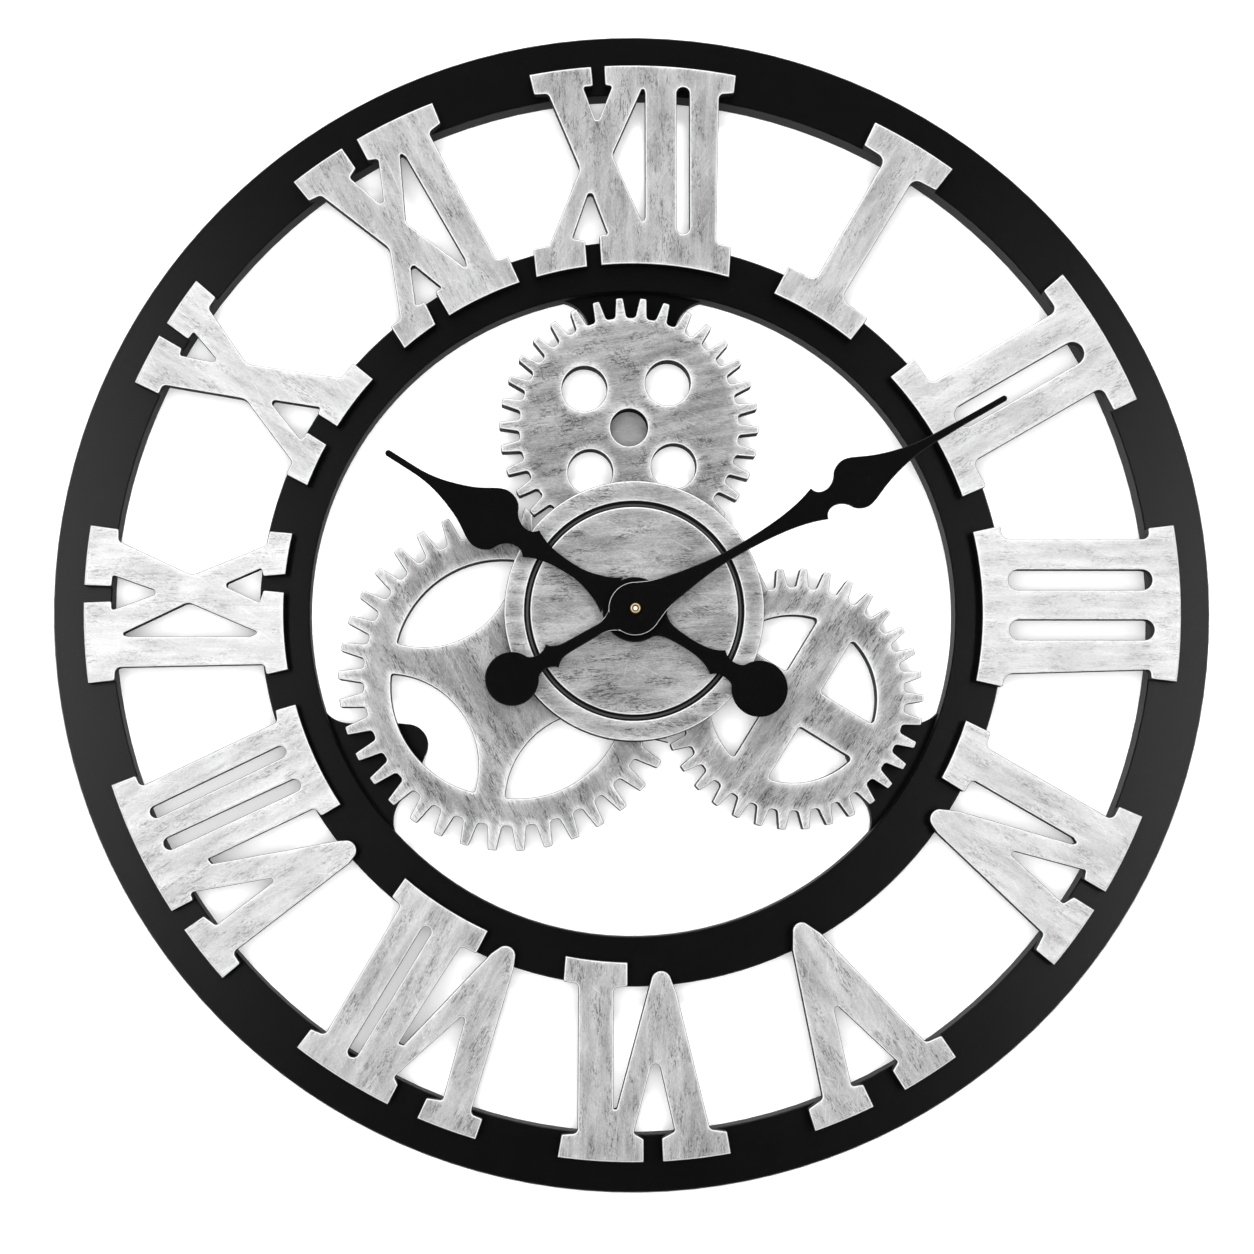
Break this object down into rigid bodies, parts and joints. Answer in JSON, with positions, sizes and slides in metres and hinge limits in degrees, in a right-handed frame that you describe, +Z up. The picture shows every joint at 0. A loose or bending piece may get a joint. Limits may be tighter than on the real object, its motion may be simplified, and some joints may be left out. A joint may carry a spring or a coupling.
{
  "type": "wall clock",
  "caption": "Large ring-shaped wall clock with open gear plates, Roman numerals between two black rings, a centre disc and a geared quartz movement.",
  "frame": {"origin": "the point on the wall plane where the hanging screw carries the keyhole plate, behind twelve o'clock", "axes": "-Y out of the wall towards the viewer, +Z up, +X to the viewer's right"},
  "size_m": [0.5799, 0.04, 0.58],
  "materials": {
    "black_board": "medium density fibreboard, satin black paint",
    "silver_numeral": "medium density fibreboard, distressed silver paint, black edges",
    "silver_plate": "medium density fibreboard, distressed silver paint, black edges",
    "black_plastic": "moulded black plastic",
    "white_plastic": "moulded natural acetal",
    "steel": "bright steel",
    "zinc_screw": "zinc-plated steel",
    "board_green": "printed circuit board",
    "copper_wire": "enamelled copper wire",
    "brass": "turned brass",
    "black_rubber": "moulded rubber",
    "battery_sleeve": "AA cell, plain printed sleeve",
    "black_hand": "thin sheet, satin black paint",
    "magnet": "sintered magnet and steel pivot"
  },
  "bodies": {
    "clock_frame": {"outer_ring": "black_board", "inner_ring": "black_board", "numeral_i": "silver_numeral", "numeral_ii": "silver_numeral", "numeral_iii": "silver_numeral", "numeral_iv": "silver_numeral", "numeral_v": "silver_numeral", "numeral_vi": "silver_numeral", "numeral_vii": "silver_numeral", "numeral_viii": "silver_numeral", "numeral_ix": "silver_numeral", "numeral_x": "silver_numeral", "numeral_xi": "silver_numeral", "numeral_xii": "silver_numeral", "gear_plate_top": "silver_plate", "gear_plate_left": "silver_plate", "gear_plate_right": "silver_plate", "gear_backing_disc": "silver_plate", "disc_housing": "silver_plate", "disc_face": "silver_plate", "movement_case": "black_plastic", "movement_cover": "black_plastic", "contact_positive": "steel", "contact_negative": "steel", "circuit_board": "board_green", "quartz_crystal": "steel", "coil_core": "steel", "coil_winding": "copper_wire", "stator": "steel", "threaded_bush": "brass", "rubber_washer": "black_rubber", "brass_washer": "brass", "hex_nut": "brass", "hanger_plate": "steel", "hanger_screws": "zinc_screw", "numeral_screws": "zinc_screw", "gear_screws": "zinc_screw", "housing_screws": "zinc_screw"},
    "battery": {"battery": "battery_sleeve"},
    "minute_set": {"minute_arbor": "steel", "minute_hand": "black_hand", "cap_nut": "brass"},
    "hour_set": {"hour_wheel": "white_plastic", "hour_hand": "black_hand"},
    "motion_wheel": {"motion_wheel": "white_plastic"},
    "setting_knob": {"setting_knob": "black_plastic"},
    "centre_wheel": {"centre_wheel": "white_plastic"},
    "third_wheel": {"third_wheel": "white_plastic"},
    "second_wheel": {"second_wheel": "white_plastic"},
    "intermediate_wheel": {"intermediate_wheel": "white_plastic"},
    "rotor": {"rotor": "magnet"}
  },
  "joints": [
    {"name": "minute_turn", "type": "hinge", "parent": "clock_frame", "child": "minute_set", "pos_m": [0, 0, -0.278], "axis": [0, 1, 0], "continuous": true},
    {"name": "hour_turn", "type": "hinge", "parent": "clock_frame", "child": "hour_set", "pos_m": [0, 0, -0.278], "axis": [0, 1, 0], "continuous": true},
    {"name": "motion_turn", "type": "hinge", "parent": "clock_frame", "child": "motion_wheel", "pos_m": [-0.00849, 0, -0.26951], "axis": [0, 1, 0], "continuous": true},
    {"name": "setting_turn", "type": "hinge", "parent": "clock_frame", "child": "setting_knob", "pos_m": [-0.02049, 0, -0.26951], "axis": [0, 1, 0], "continuous": true},
    {"name": "second_turn", "type": "hinge", "parent": "clock_frame", "child": "second_wheel", "pos_m": [0.01199, 0, -0.26275], "axis": [0, 1, 0], "continuous": true},
    {"name": "intermediate_turn", "type": "hinge", "parent": "clock_frame", "child": "intermediate_wheel", "pos_m": [0.00313, 0, -0.2612], "axis": [0, 1, 0], "continuous": true},
    {"name": "rotor_turn", "type": "hinge", "parent": "clock_frame", "child": "rotor", "pos_m": [-0.00423, 0, -0.25695], "axis": [0, 1, 0], "continuous": true},
    {"name": "third_turn", "type": "hinge", "parent": "clock_frame", "child": "third_wheel", "pos_m": [0.00935, 0, -0.2726], "axis": [0, 1, 0], "continuous": true},
    {"name": "centre_turn", "type": "hinge", "parent": "clock_frame", "child": "centre_wheel", "pos_m": [0, 0, -0.278], "axis": [0, 1, 0], "continuous": true},
    {"name": "battery_slide", "type": "slide", "parent": "clock_frame", "child": "battery", "axis": [0, 1, 0], "range_m": [0, 0.03]}
  ],
  "couplings": [
    {"joint": "motion_turn", "follows": "minute_turn", "ratio": -0.33333},
    {"joint": "hour_turn", "follows": "minute_turn", "ratio": 0.083333},
    {"joint": "setting_turn", "follows": "minute_turn", "ratio": 1},
    {"joint": "intermediate_turn", "follows": "second_turn", "ratio": -4},
    {"joint": "rotor_turn", "follows": "second_turn", "ratio": 30},
    {"joint": "third_turn", "follows": "second_turn", "ratio": -0.13333},
    {"joint": "centre_turn", "follows": "second_turn", "ratio": 0.016667}
  ]
}
